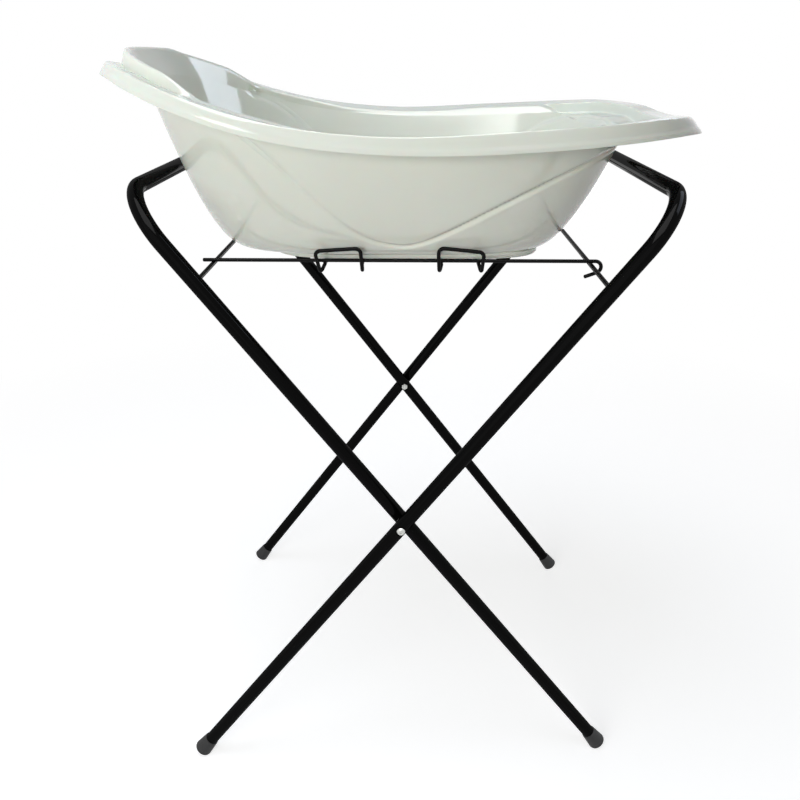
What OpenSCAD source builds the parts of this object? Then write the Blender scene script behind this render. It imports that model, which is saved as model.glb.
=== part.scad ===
// Folding stand with a lift-off baby bath.
// Millimetres. X runs from the head end to the foot end, Y away from the front, Z up.
// The origin is on the floor under the middle of the bath.

/* [Stand] */
// Outside diameter of the bent steel tube
tube_d = 20; // [16:0.5:25]
// Wall thickness of the steel tube
tube_wall = 1; // [0.8:0.1:2]
// Angle of every leg from the vertical with the stand open
leg_angle = 36.57; // [30:0.01:42]
// Height of the pivot bolts above the floor
pivot_h = 442; // [420:1:470]
// Pivot bolt to the centre line of the top cross tube, along the leg
leg_up = 556; // [530:1:590]
// Width of the outer frame between its leg centres
outer_w = 516.6; // [500:0.2:560]
// Free gap between an outer leg and the inner leg beside it
leg_gap = 3.2; // [2:0.1:6]
// Radius of the two upper bends, to the centre line of the tube
bend_r = 74; // [45:1:90]
// Distance of the pivots from the middle of the bath, along X
stand_x = -4.5; // [-20:0.5:20]

/* [Feet] */
// Length of the rubber foot on its leg
foot_len = 29; // [24:1:60]
// Thickness of the foot at its upper edge
foot_wall = 1.2; // [1:0.1:3]
// Thickness of the foot near the floor
foot_flare = 3.7; // [2.5:0.1:6]
// Rounding of the lower rim of the foot
foot_round = 3; // [1.5:0.5:4]
// How far the foot is worn flat on the floor
foot_worn = 3; // [1:0.1:4]

/* [Pivot bolts] */
// Diameter of the bolt shank
bolt_d = 6; // [5:0.5:8]
// Diameter of the domed bolt head
head_d = 11.5; // [10:0.5:16]
// Height of the domed bolt head
head_h = 3.2; // [2:0.1:5]
// Width of the nut across its flats
nut_af = 10; // [8:0.5:13]
// Height of the nut
nut_h = 5; // [4:0.1:8]
// Diameter of the spacer washer between the legs
spacer_d = 13; // [10:0.5:18]

/* [Wire rack] */
// Diameter of the two cross wires
cross_d = 6; // [5:0.5:8]
// Diameter of the long wires and the ear loops
wire_d = 5; // [4:0.5:6]
// Pivot bolt to the rack axle, along the leg
axle_up = 425.3; // [410:0.1:440]
// Distance between the two long wires
rack_w = 280; // [240:1:320]
// How deep the long wires are pressed into the axle where they are welded
weld_press = 1.5; // [0.5:0.1:2]
// Length of the long wire that stands out beyond the axle
stub = 13; // [5:1:25]
// Radius of the catch hook, to the centre line of the wire
hook_r = 8; // [7:0.5:10]
// Slope of the free end of the hook, below the horizontal
hook_slope = 20; // [10:1:35]
// Length of the straight free end of the hook
hook_tail = 16; // [8:1:20]
// Height of an ear above the long wires
ear_up = 19; // [12:1:30]
// How far an ear stands outside the long wire
ear_out = 20; // [17:1:24]
// How far the foot of an ear drops below the long wires
ear_drop = 14.5; // [10:0.5:20]
// Middle of the head-side loop, along X
loop_head_x = -85; // [-120:1:-60]
// Middle of the foot-side loop, along X
loop_foot_x = 77; // [60:1:110]
// Width of an ear at its top
ear_w = 60; // [40:1:80]
// Radius of the bends in the loops
loop_bend = 6; // [4:0.5:10]

/* [Bath] */
// Length of the bath over its rim
bath_len = 786; // [740:1:840]
// Width of the bath over its rim
bath_w = 503; // [480:1:520]
// Wall thickness of the moulding
shell = 3; // [2:0.1:4]
// Height of the lower edge of the rim above the floor, at mid length
rim_h = 933.4; // [925:0.1:960]
// Rise of the rim at the head end
head_rise = 95; // [60:1:120]
// Drop of the rim at the tip of the head end
head_dip = 22; // [0:0.5:30]
// Rise of the rim towards the foot end
foot_rise = 20.8; // [0:0.1:35]
// Drop of the rim at the tip of the foot end
foot_dip = 12; // [0:0.1:20]
// Height of the raised collar round the head end of the basin
collar_h = 14; // [0:0.5:20]
// Depth of the turned-down lip
lip_h = 18.7; // [14:0.1:26]
// Width of the flange beside the basin
side_flange = 35.7; // [28:0.1:45]
// Width of the flange at the head end
head_flange = 32; // [28:1:65]
// Width of the flange at the foot end
foot_flange = 94; // [80:1:105]
// How much deeper the lip is over the foot half
lip_more = 4; // [0:0.5:6]
// How far the flange falls to the basin over the shoulder at the foot end
shoulder = 15; // [8:0.5:18]
// How far the wave-shaped side panel stands out
panel_out = 4.5; // [0:0.5:8]
// Lowest point of the side panel above the floor
panel_z = 813; // [805:1:850]
// Length of the flat bottom on the head side of the middle
floor_head = 213; // [190:0.5:230]
// Length of the flat bottom on the foot side of the middle
floor_foot = 182; // [160:0.5:200]
// Half of the width of the flat bottom
floor_half = 115; // [100:0.2:120]
// Height of the shallow foot ring under the bath
ring_h = 6.5; // [4:0.5:9]

/* [Hidden] */
$fn = 64;
black = [0.06, 0.06, 0.065];
rubber = [0.09, 0.09, 0.09];
zinc = [0.78, 0.79, 0.8];
cream = [0.9, 0.9, 0.84];
tube_r = tube_d / 2;
bore_r = tube_r - tube_wall;
inner_w = outer_w - 2 * (tube_d + leg_gap);
floor_s = pivot_h / cos(leg_angle);
foot_s = floor_s - (tube_r + foot_flare) * tan(leg_angle) + foot_worn / cos(leg_angle);
tube_end_s = foot_s - 4;
slip = 0.05;
play = 0.1;
rest_gap = 0.3;
big = 200;

// Cross wires: both stand on the centre lines of the legs
axle_x = stand_x - axle_up * sin(leg_angle);
axle_z = pivot_h + axle_up * cos(leg_angle);
long_z = axle_z + (cross_d + wire_d) / 2 - weld_press;
catch_z = long_z - (cross_d + wire_d) / 2 - rest_gap;
catch_up = (catch_z - pivot_h) / cos(leg_angle);
catch_x = stand_x + catch_up * sin(leg_angle);
hook_x = catch_x + 5;
hook_z = long_z - hook_r;

// Loops: their cross members lie under the long wires and carry the bath
loop_z = long_z - wire_d;
bath_z = loop_z + wire_d / 2 + rest_gap;

// ---------- helpers ----------

// Cylinder along Y between two Y values
module bar_y(y0, y1, r) translate([0, y0, 0]) rotate([-90, 0, 0]) cylinder(h = y1 - y0, r = r);

// Puts a part drawn in leg coordinates (Z up the leg, origin on the pivot) into place
module on_leg(side) translate([stand_x, 0, pivot_h]) rotate([0, side * leg_angle, 0]) children();

// One hollow leg with the bend above it; wire_s is where a cross wire enters from the inside
module bent_leg(w, wire_s) {
    straight = leg_up - bend_r;
    difference() {
        translate([0, w / 2, -tube_end_s]) cylinder(h = straight + tube_end_s, r = tube_r);
        translate([0, w / 2, -tube_end_s - 1]) cylinder(h = straight + tube_end_s + 2, r = bore_r);
        bar_y(0, outer_w, bolt_d / 2 + slip);
        translate([0, 0, wire_s]) bar_y(0, w / 2, cross_d / 2 + slip);
    }
    translate([0, w / 2 - bend_r, straight]) rotate([90, 0, 90]) rotate_extrude(angle = 90)
        translate([bend_r, 0]) difference() {
            circle(r = tube_r);
            circle(r = bore_r);
        }
}

// A bent tube frame in leg coordinates
module u_frame(w, wire_s) {
    top = w / 2 - bend_r;
    for (m = [0, 1]) mirror([0, m, 0]) bent_leg(w, wire_s);
    translate([0, 0, leg_up]) difference() {
        bar_y(-top, top, tube_r);
        bar_y(-top - 1, top + 1, bore_r);
    }
}

// Straight wire across a frame, with its ends inside the legs
module cross_wire(w) bar_y(-w / 2 + cross_d / 4, w / 2 - cross_d / 4, cross_d / 2);

// Rubber foot: a flared cap with a rounded rim, worn flat where it meets the floor
module foot(side, y) {
    r0 = tube_r + foot_wall;
    r1 = tube_r + foot_flare;
    difference() {
        on_leg(side) translate([0, y, -foot_s]) difference() {
            rotate_extrude() {
                square([r1 - foot_round, foot_round]);
                intersection() {
                    translate([r1 - foot_round, foot_round]) circle(r = foot_round);
                    square([r1, foot_round]);
                }
                polygon([[0, foot_round], [r1, foot_round], [r0, foot_len], [0, foot_len]]);
            }
            translate([0, 0, foot_s - tube_end_s]) cylinder(h = foot_len, r = tube_r);
        }
        translate([-big * 3, -big * 3, -big]) cube([big * 6, big * 6, big]);
    }
}

// ---------- stand ----------

module outer_frame_tube() color(black) on_leg(1) u_frame(outer_w, catch_up);
module inner_frame_tube() color(black) on_leg(-1) u_frame(inner_w, axle_up);
module outer_foot(side) color(rubber) foot(1, side * outer_w / 2);
module inner_foot(side) color(rubber) foot(-1, side * inner_w / 2);
module catch_wire() color(black) translate([catch_x, 0, catch_z]) cross_wire(outer_w);

// Domed bolt: head outside the outer leg, shank through both legs
module pivot_bolt(side) {
    seat = outer_w / 2 + tube_r + play;
    reach = inner_w / 2 - tube_r - play - nut_h;
    dome = (head_d * head_d / 4 + head_h * head_h) / (2 * head_h);
    color(zinc) translate([stand_x, 0, pivot_h]) mirror([0, side < 0 ? 1 : 0, 0]) {
        bar_y(reach, seat, bolt_d / 2);
        translate([0, seat, 0]) rotate([-90, 0, 0]) intersection() {
            cylinder(h = head_h, r = head_d / 2);
            translate([0, 0, head_h - dome]) sphere(r = dome);
        }
    }
}

// Hexagon nut on the inside of the inner leg
module pivot_nut(side) {
    top = inner_w / 2 - tube_r - play;
    color(zinc) translate([stand_x, 0, pivot_h]) mirror([0, side < 0 ? 1 : 0, 0]) difference() {
        translate([0, top - nut_h, 0]) rotate([-90, 0, 0]) cylinder(h = nut_h, d = nut_af / cos(30), $fn = 6);
        bar_y(top - 2 * nut_h, top + nut_h, bolt_d / 2);
    }
}

// Washer that keeps the two legs apart
module pivot_spacer(side) {
    y0 = inner_w / 2 + tube_r + play;
    y1 = outer_w / 2 - tube_r - play;
    color(zinc) translate([stand_x, 0, pivot_h]) mirror([0, side < 0 ? 1 : 0, 0]) difference() {
        bar_y(y0, y1, spacer_d / 2);
        bar_y(y0 - 1, y1 + 1, bolt_d / 2);
    }
}

// ---------- wire rack ----------

module rack_axle() color(black) translate([axle_x, 0, axle_z]) cross_wire(inner_w);

// Long wire: welded on the axle, with a hook that drops over the catch wire
module rack_wire(side) {
    turn = 180 - hook_slope;
    color(black) translate([0, side * rack_w / 2, 0]) difference() {
        union() {
            translate([axle_x - stub, 0, long_z]) rotate([0, 90, 0])
                cylinder(h = hook_x - axle_x + stub, r = wire_d / 2);
            translate([hook_x, 0, hook_z]) rotate([-90, 0, 0]) rotate([0, 0, -90]) {
                rotate_extrude(angle = turn) translate([hook_r, 0]) circle(r = wire_d / 2);
                rotate([0, 0, turn]) translate([hook_r, -0.4, 0]) rotate([-90, 0, 0])
                    cylinder(h = hook_tail + 0.4, r = wire_d / 2 - slip);
            }
        }
        translate([axle_x, 0, axle_z]) bar_y(-wire_d, wire_d, cross_d / 2);
    }
}

// Points of a path with every corner rounded to radius r (closed path)
function corner(a, b, c, r, steps) =
    let (u = (a - b) / norm(a - b), v = (c - b) / norm(c - b),
        half = acos(u * v) / 2, cut = r / tan(half),
        mid = (u + v) / norm(u + v), centre = b + mid * r / sin(half),
        p = b + u * cut - centre, q = b + v * cut - centre, sweep = 180 - 2 * half)
    [for (i = [0:steps]) let (k = i / steps)
        centre + (p * sin(sweep * (1 - k)) + q * sin(sweep * k)) / sin(sweep)];
function rounded(pts, r, steps) =
    [for (i = [0:len(pts) - 1])
        each corner(pts[(i + len(pts) - 1) % len(pts)], pts[i], pts[(i + 1) % len(pts)], r, steps)];

// Round wire of radius r along a closed path
module closed_wire(path, r, sides) {
    n = len(path);
    pts = [for (i = [0:n - 1])
        let (t = path[(i + 1) % n] - path[(i + n - 1) % n], d = t / norm(t),
            a0 = cross(d, [0.31, 0.17, 0.94]), a = a0 / norm(a0), b = cross(d, a))
        for (j = [0:sides - 1]) path[i] + r * (cos(360 * j / sides) * a + sin(360 * j / sides) * b)];
    faces = [for (i = [0:n - 1]) for (j = [0:sides - 1])
        let (i2 = (i + 1) % n, j2 = (j + 1) % sides)
        each [[i * sides + j, i2 * sides + j2, i * sides + j2],
            [i * sides + j, i2 * sides + j, i2 * sides + j2]]];
    polyhedron(points = pts, faces = faces);
}

// Closed loop: an ear beside each long wire, joined by two cross members under the bath.
// lean shifts the feet of the ears along X, tilt is the rise of their tops along X.
module rack_loop(mid_x, lean, tilt) {
    y_wire = rack_w / 2 + 2;
    y_drop = rack_w / 2 + 10;
    y_ear = rack_w / 2 + ear_out;
    function leg(m) = [[m * (ear_w / 2 - 5) + lean * 1.5, y_wire, loop_z],
        [m * (ear_w / 2 - 2) + lean, y_drop, long_z - ear_drop],
        [m * ear_w / 2, y_ear, long_z + ear_up + m * tilt / 2]];
    a = leg(-1);
    b = leg(1);
    ear = [a[0], a[1], a[2], b[2], b[1], b[0]];
    other = [for (k = [5:-1:0]) [ear[k].x, -ear[k].y, ear[k].z]];
    color(black) translate([mid_x + stand_x, 0, 0])
        closed_wire(rounded(concat(ear, other), loop_bend * 0.6, 4), wire_d / 2, 14);
}

// ---------- bath ----------

function smooth(v) = let (t = max(0, min(1, v))) t * t * (3 - 2 * t);
function mix(a, b, k) = a + (b - a) * k;

// Height of the lower edge of the rim at x
function rim_z(x) =
    let (h = max(0, min(1, -x / bath_len * 2)), f = max(0, min(1, x / bath_len * 2)))
    rim_h + head_rise * (1 - pow(1 - h * h, 1.05)) - head_dip * pow(h, 32)
        + foot_rise * pow(f, 1.5) - foot_dip * pow(f, 14) + 2.2 * exp(-pow((x + 50) / 85, 2));

// Rounded, blunt-ended plan curve; squareness 2 is an ellipse, larger is blunter
function plan(t, head, foot, half_w, sq_head, sq_foot, split) =
    let (c = cos(t), s = sin(t), n = c < 0 ? sq_head : sq_foot,
        k = pow(pow(abs(c), n) + pow(abs(s), n), 1 / n))
    [split + (c < 0 ? head + split : foot - split) * c / k, half_w * s / k];
function rim_plan(t) = plan(t, bath_len / 2, bath_len / 2, bath_w / 2, 3.17, 2.69, 6);
function top_plan(t, in) = plan(t, bath_len / 2 - head_flange - 15.5 - in,
    bath_len / 2 - foot_flange - 1.7 - in, bath_w / 2 - side_flange - in, 3.03, 3.03, stand_x);
function edge_plan(t) = plan(t, bath_len / 2 - head_flange, bath_len / 2 - foot_flange - panel_out,
    bath_w / 2 - side_flange, 2.9, 2.7, 60);
function low_plan(t, in) = plan(t, floor_head - in, floor_foot - in, floor_half - in, 4, 4, stand_x);

// Lower edge of the side panel: a wave, steep to the head end and slow to the foot end
function panel_edge(x) =
    let (d = x + 5)
    panel_z + (d < 0 ? 161 * smooth((-d - 12) / 230) + 2.5 * smooth(-d / 25) + max(0, -d - 232)
        : sqrt(pow(0.77 * d, 2) + 1024) - 32 - 0.00078 * d * d);
function panel(x, z) = panel_out * smooth((z - panel_edge(x)) / 9 + 0.5);

// A point of the basin wall: s is 0 at the bottom and 1 under the rim
function wall_pt(t, s, in) =
    let (curve = 1 - pow(1 - s, 3), side = 0.548 * s + 0.452 * pow(curve, 0.306),
        end = cos(t) < 0 ? 0.565 * s + 0.435 * pow(curve, 0.21) : 0.61 * s + 0.39 * pow(curve, 0.483),
        p = mix(low_plan(t, in), top_plan(t, in), mix(side, end, pow(cos(t), 2))),
        z = mix(bath_z + ring_h + in * 0.9, rim_z(p.x) + 14, s),
        n = [p.x / 90000, p.y / 40000], q = p + n / norm(n) * panel(p.x, z))
    [q.x, q.y, z];

// How far a shape of the head end and one of the foot end have come in at x
function head_in(x) = smooth((-x - 130) / 90);
function foot_in(x) = smooth((x - 300) / 70);
function collar(x) = collar_h * smooth((-x - 235) / 58);

// Width of the flange at t, and how far its inner edge steps outwards over the side panel
function flange_w(t) = norm(edge_plan(t) - rim_plan(t));
function edge_out(t) = let (p = edge_plan(t)) panel(p.x, rim_z(p.x) + 10);

// A point of the rim: d is measured inwards from the edge, h upwards from the lower edge
function rim_pt(t, d, h, rise = 0) =
    let (a = rim_plan(t), b = edge_plan(t), p = a + (b - a) / norm(b - a) * d,
        x = mix(p.x, a.x, max(smooth((-a.x - 375) / 15), smooth((a.x - 375) / 15))),
        top = rise > 0 ? collar(p.x) * rise + (rim_z(p.x) + head_dip * pow(max(0, -p.x / bath_len * 2), 32)
            - rim_z(x)) * max(0, rise - 0.2) * head_in(p.x) : 0)
    [p.x, p.y, rim_z(x) + h + top];

// The lip is deeper over the foot half
function foot_half(x) = smooth((x + 60) / 200);
function lip(x) = lip_h + lip_more * foot_half(x);

// Height of the flange; e runs from 0 at the lip to 1 at the basin, with a shoulder at the foot end
function flange_h(e, x) =
    lip(x) - e * ((4 - 0.5 * foot_half(x)) * (1 - head_in(x)) * (1 - foot_in(x)) + 1.5 * head_in(x))
        - (4 + e) * smooth((-x - 345) / 35) - 2 * smooth((x - 360) / 30)
        - foot_in(x) * (3.3 + shoulder * pow(max(0, e - 0.2) / 0.8, 1.15));

function edge_h(rise, x) = mix(flange_h(1, x), lip_h + 1, rise * head_in(x));

// The lip leans outwards, most at the two ends
function lip_lean(x) = 7 + 3 * head_in(x) + 6 * foot_in(x);

// Rim rings, outer edge to basin, on the upper face; k counts the rings
function rim_top(t, k) =
    let (a = rim_plan(t), w = flange_w(t) - edge_out(t), lean = lip_lean(a.x), e = (k - 4) / 5)
    k < 4 ? rim_pt(t, [0, 0.3, 0.58, 0.82][k] * lean, [0, 0.42, 0.76, 0.95][k] * flange_h(0, a.x))
        : k < 10 ? rim_pt(t, mix(lean + 2, w - 13, e), flange_h(e, a.x))
            : rim_pt(t, w - [10, 7.5, 5, 2.5, 0][k - 10], edge_h([0.3, 0.72, 0.95, 1, 1][k - 10], a.x)
                - [0, 0, 0.2, 1, 3.4][k - 10], [0.3, 0.72, 0.95, 1, 1][k - 10]);

// The same on the lower face
function rim_under(t, k) =
    let (a = rim_plan(t), w = flange_w(t) - edge_out(t), lean = lip_lean(a.x), r = [0.5, 0.85][k - 6],
        e = [0, 0, 0.1, 0.4, 0.7, 1][k])
    k < 2 ? rim_pt(t, shell + [0, 0.45][k] * lean, [0, 0.6][k] * lip(a.x))
        : k < 6 ? rim_pt(t, mix(lean + 3, w - 12, e), flange_h(e, a.x) - shell)
            : rim_pt(t, w - [7, 4][k - 6], edge_h(r, a.x) - shell - [0, 1][k - 6], r);

// Levels up the wall, closer together in the curved lower part; the wall ends lower at the foot
levels = 15;
function level(k, t) = 0.965 * pow(k / levels, 1.45) * (1 - 0.08 * foot_in(rim_plan(t).x));

// A point of the foot ring under the basin
function ring_pt(t, in, h) = let (p = low_plan(t, in)) [p.x, p.y, bath_z + h];

module bath() {
    sectors = 84;
    rows = concat(
        [[5, 1]], [for (k = [0:levels]) [0, k]], [for (k = [14:-1:0]) [1, k]],
        [for (k = [0:7]) [2, k]], [for (k = [levels:-1:0]) [3, k]], [[4, 0], [4, 1]]);
    function row_pt(r, t) =
        r[0] == 0 ? wall_pt(t, level(r[1], t), shell)
            : r[0] == 1 ? rim_top(t, r[1])
                : r[0] == 2 ? rim_under(t, r[1])
                    : r[0] == 3 ? wall_pt(t, 0.975 * level(r[1], t), 0)
                        : r[0] == 4 ? ring_pt(t, 1.2 + 1.4 * r[1], (1 - r[1]) * ring_h * 0.35)
                            : ring_pt(t, shell + 4, shell + 0.4);
    n = len(rows);
    pts = concat([for (r = rows) for (j = [0:sectors - 1]) row_pt(r, 360 * j / sectors)],
        [[stand_x, 0, bath_z + shell + 0.4], [stand_x, 0, bath_z]]);
    faces = concat(
        [for (i = [0:n - 2]) for (j = [0:sectors - 1]) let (j2 = (j + 1) % sectors)
            each [[i * sectors + j, i * sectors + j2, (i + 1) * sectors + j2],
                [i * sectors + j, (i + 1) * sectors + j2, (i + 1) * sectors + j]]],
        [for (j = [0:sectors - 1]) [(j + 1) % sectors, j, n * sectors]],
        [for (j = [0:sectors - 1])
            [(n - 1) * sectors + j, (n - 1) * sectors + (j + 1) % sectors, n * sectors + 1]]);
    color(cream) polyhedron(points = pts, faces = faces);
}

outer_frame_tube();
outer_foot(-1);  // outer_foot_near
outer_foot(1);  // outer_foot_far
catch_wire();
inner_frame_tube();
inner_foot(-1);  // inner_foot_near
inner_foot(1);  // inner_foot_far
rack_axle();
rack_wire(-1);  // rack_wire_near
rack_wire(1);  // rack_wire_far
rack_loop(loop_head_x, 4, 4);  // rack_loop_head
rack_loop(loop_foot_x, 0, -6);  // rack_loop_foot
pivot_bolt(-1);  // pivot_bolt_near
pivot_nut(-1);  // pivot_nut_near
pivot_spacer(-1);  // pivot_spacer_near
pivot_bolt(1);  // pivot_bolt_far
pivot_nut(1);  // pivot_nut_far
pivot_spacer(1);  // pivot_spacer_far
bath();
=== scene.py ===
import math
import bmesh
import bpy
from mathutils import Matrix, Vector


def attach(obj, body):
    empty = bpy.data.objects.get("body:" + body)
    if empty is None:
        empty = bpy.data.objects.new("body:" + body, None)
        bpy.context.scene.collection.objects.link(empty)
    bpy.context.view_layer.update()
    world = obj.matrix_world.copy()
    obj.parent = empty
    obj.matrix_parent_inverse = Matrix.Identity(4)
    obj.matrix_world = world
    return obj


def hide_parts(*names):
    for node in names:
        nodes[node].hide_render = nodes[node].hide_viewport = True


# a lift-off baby bath on a folding stand of bent tube: fine meshes, finishes, light and camera
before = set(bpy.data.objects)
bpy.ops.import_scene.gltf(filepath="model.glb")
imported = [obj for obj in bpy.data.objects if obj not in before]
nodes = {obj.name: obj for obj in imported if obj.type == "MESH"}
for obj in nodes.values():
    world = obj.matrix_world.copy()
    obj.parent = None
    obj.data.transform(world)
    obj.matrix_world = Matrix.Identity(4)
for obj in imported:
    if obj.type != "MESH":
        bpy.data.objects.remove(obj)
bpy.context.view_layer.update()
print("frame loaded,", len(nodes), "nodes")


# small helpers: lengths are in millimetres until a mesh is made

def smooth(v):  # an eased step from 0 to 1
    v = max(0.0, min(1.0, v))
    return v * v * (3 - 2 * v)


def mix(a, b, k):  # from a to b as k goes from 0 to 1
    return a + (b - a) * k


def hexColour(code):  # sRGB hex to a linear colour
    parts = [int(code[i:i + 2], 16) / 255 for i in (1, 3, 5)]
    return [c / 12.92 if c <= 0.04045 else ((c + 0.055) / 1.055) ** 2.4 for c in parts] + [1]


def addNode(tree, kind, settings=None, links=None):  # settings: attributes or inputs; links: input to output
    node = tree.nodes.new(kind)
    for key, value in (settings or {}).items():
        if isinstance(key, str) and hasattr(node, key):
            setattr(node, key, value)
        else:
            node.inputs[key].default_value = value
    for key, socket in (links or {}).items():
        tree.links.new(socket, node.inputs[key])
    return node


def newMaterial(name, base):  # base: values set straight on the shader's own sockets
    material = bpy.data.materials.new(name)
    material.use_nodes = True
    tree = material.node_tree
    shader = tree.nodes["Principled BSDF"]
    for key, value in base.items():
        shader.inputs[key].default_value = value
    return material, tree, shader


mixFactor, mixFirst, mixSecond, mixResult = 0, 6, 7, 2  # where a mix node keeps its colour sockets

# in the finishes Mm is the size of a pattern, and M in metres is how deep a bump is or light goes in;
# a pattern too fine to show in the render is drawn as coarse as it needs to show, and its line says so
plasticLook = {"colour": "#e4e7da", "shadeColour": "#dde0d1", "roughFrom": 0.07, "roughTo": 0.12,
               "ior": 1.49, "shine": 0.6, "milk": 0.15, "milkM": 0.006, "moodMm": 140,
               "rippleMm": 55, "rippleBump": 0.06, "rippleM": 0.0012,
               "grainMm": 0.9, "grainBump": 0.05, "grainM": 0.0001}  # real grain is finer: drawn to show


def makeBathPlastic():  # moulded polypropylene: soft gloss, slightly milky, faint waviness from cooling
    look = plasticLook
    material, tree, shader = newMaterial("mouldedPolypropylene", {
        "IOR": look["ior"], "Specular IOR Level": look["shine"],
        "Subsurface Weight": look["milk"], "Subsurface Scale": look["milkM"]})
    onPart = addNode(tree, "ShaderNodeTexCoord").outputs["Object"]
    mood = addNode(tree, "ShaderNodeTexNoise", {"Scale": 1000 / look["moodMm"], "Detail": 2.0},
                   {"Vector": onPart})
    tint = addNode(tree, "ShaderNodeMix", {"data_type": "RGBA", mixFirst: hexColour(look["colour"]),
                                           mixSecond: hexColour(look["shadeColour"])},
                   {mixFactor: mood.outputs["Fac"]})
    tree.links.new(tint.outputs[mixResult], shader.inputs["Base Color"])
    gloss = addNode(tree, "ShaderNodeMapRange", {
        "From Min": 0.3, "From Max": 0.7, "To Min": look["roughFrom"], "To Max": look["roughTo"]},
        {"Value": mood.outputs["Fac"]})
    tree.links.new(gloss.outputs["Result"], shader.inputs["Roughness"])
    ripple = addNode(tree, "ShaderNodeTexNoise", {"Scale": 1000 / look["rippleMm"], "Detail": 1.0},
                     {"Vector": onPart})
    grain = addNode(tree, "ShaderNodeTexNoise", {"Scale": 1000 / look["grainMm"], "Detail": 2.0},
                    {"Vector": onPart})
    broad = addNode(tree, "ShaderNodeBump", {"Strength": look["rippleBump"], "Distance": look["rippleM"]},
                    {"Height": ripple.outputs["Fac"]})
    fine = addNode(tree, "ShaderNodeBump", {"Strength": look["grainBump"], "Distance": look["grainM"]},
                   {"Height": grain.outputs["Fac"], "Normal": broad.outputs["Normal"]})
    tree.links.new(fine.outputs["Normal"], shader.inputs["Normal"])
    return material


lacquerLook = {"colour": "#050505", "ior": 1.5, "shine": 0.0, "coat": 0.09, "coatRough": 0.06,
               "roughFrom": 0.27, "roughTo": 0.35, "dustMm": 12,
               "peelMm": 3.0, "peelBump": 0.05, "peelM": 0.0001}


def makeBlackLacquer():  # stoved powder coat on steel tube: glossy black with a fine orange peel
    look = lacquerLook
    material, tree, shader = newMaterial("blackPowderCoat", {
        "Base Color": hexColour(look["colour"]), "IOR": look["ior"], "Specular IOR Level": look["shine"],
        "Coat Weight": look["coat"], "Coat Roughness": look["coatRough"], "Coat IOR": look["ior"]})
    onPart = addNode(tree, "ShaderNodeTexCoord").outputs["Object"]
    dust = addNode(tree, "ShaderNodeTexNoise", {"Scale": 1000 / look["dustMm"], "Detail": 3.0},
                   {"Vector": onPart})
    gloss = addNode(tree, "ShaderNodeMapRange", {
        "From Min": 0.3, "From Max": 0.75, "To Min": look["roughFrom"], "To Max": look["roughTo"]},
        {"Value": dust.outputs["Fac"]})
    tree.links.new(gloss.outputs["Result"], shader.inputs["Roughness"])
    peel = addNode(tree, "ShaderNodeTexNoise", {"Scale": 1000 / look["peelMm"], "Detail": 1.0},
                   {"Vector": onPart})
    bump = addNode(tree, "ShaderNodeBump", {"Strength": look["peelBump"], "Distance": look["peelM"]},
                   {"Height": peel.outputs["Fac"]})
    for socket in ("Normal", "Coat Normal"):
        tree.links.new(bump.outputs["Normal"], shader.inputs[socket])
    return material


wireLook = {"colour": "#070707", "ior": 1.48, "shine": 0.0, "coat": 0.2, "coatRough": 0.25,
            "roughFrom": 0.44, "roughTo": 0.58, "peelMm": 2.0, "peelBump": 0.08, "peelM": 0.0001}


def makeWireCoat():  # dipped plastic coat on steel wire: satin black, slightly uneven
    look = wireLook
    material, tree, shader = newMaterial("dippedWireCoat", {
        "Base Color": hexColour(look["colour"]), "IOR": look["ior"], "Specular IOR Level": look["shine"],
        "Coat Weight": look["coat"], "Coat Roughness": look["coatRough"]})
    onPart = addNode(tree, "ShaderNodeTexCoord").outputs["Object"]
    peel = addNode(tree, "ShaderNodeTexNoise", {"Scale": 1000 / look["peelMm"], "Detail": 2.0},
                   {"Vector": onPart})
    gloss = addNode(tree, "ShaderNodeMapRange", {"To Min": look["roughFrom"], "To Max": look["roughTo"]},
                    {"Value": peel.outputs["Fac"]})
    tree.links.new(gloss.outputs["Result"], shader.inputs["Roughness"])
    bump = addNode(tree, "ShaderNodeBump", {"Strength": look["peelBump"], "Distance": look["peelM"]},
                   {"Height": peel.outputs["Fac"]})
    tree.links.new(bump.outputs["Normal"], shader.inputs["Normal"])
    return material


rubberLook = {"colour": "#151515", "wornColour": "#2b2a29", "ior": 1.52, "roughFrom": 0.6, "roughTo": 0.78,
              "grainMm": 0.8, "grainBump": 0.35, "grainM": 0.0003,  # real grain is finer: drawn to show
              "scuffMm": 7, "scuffUpM": 0.009}


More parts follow.
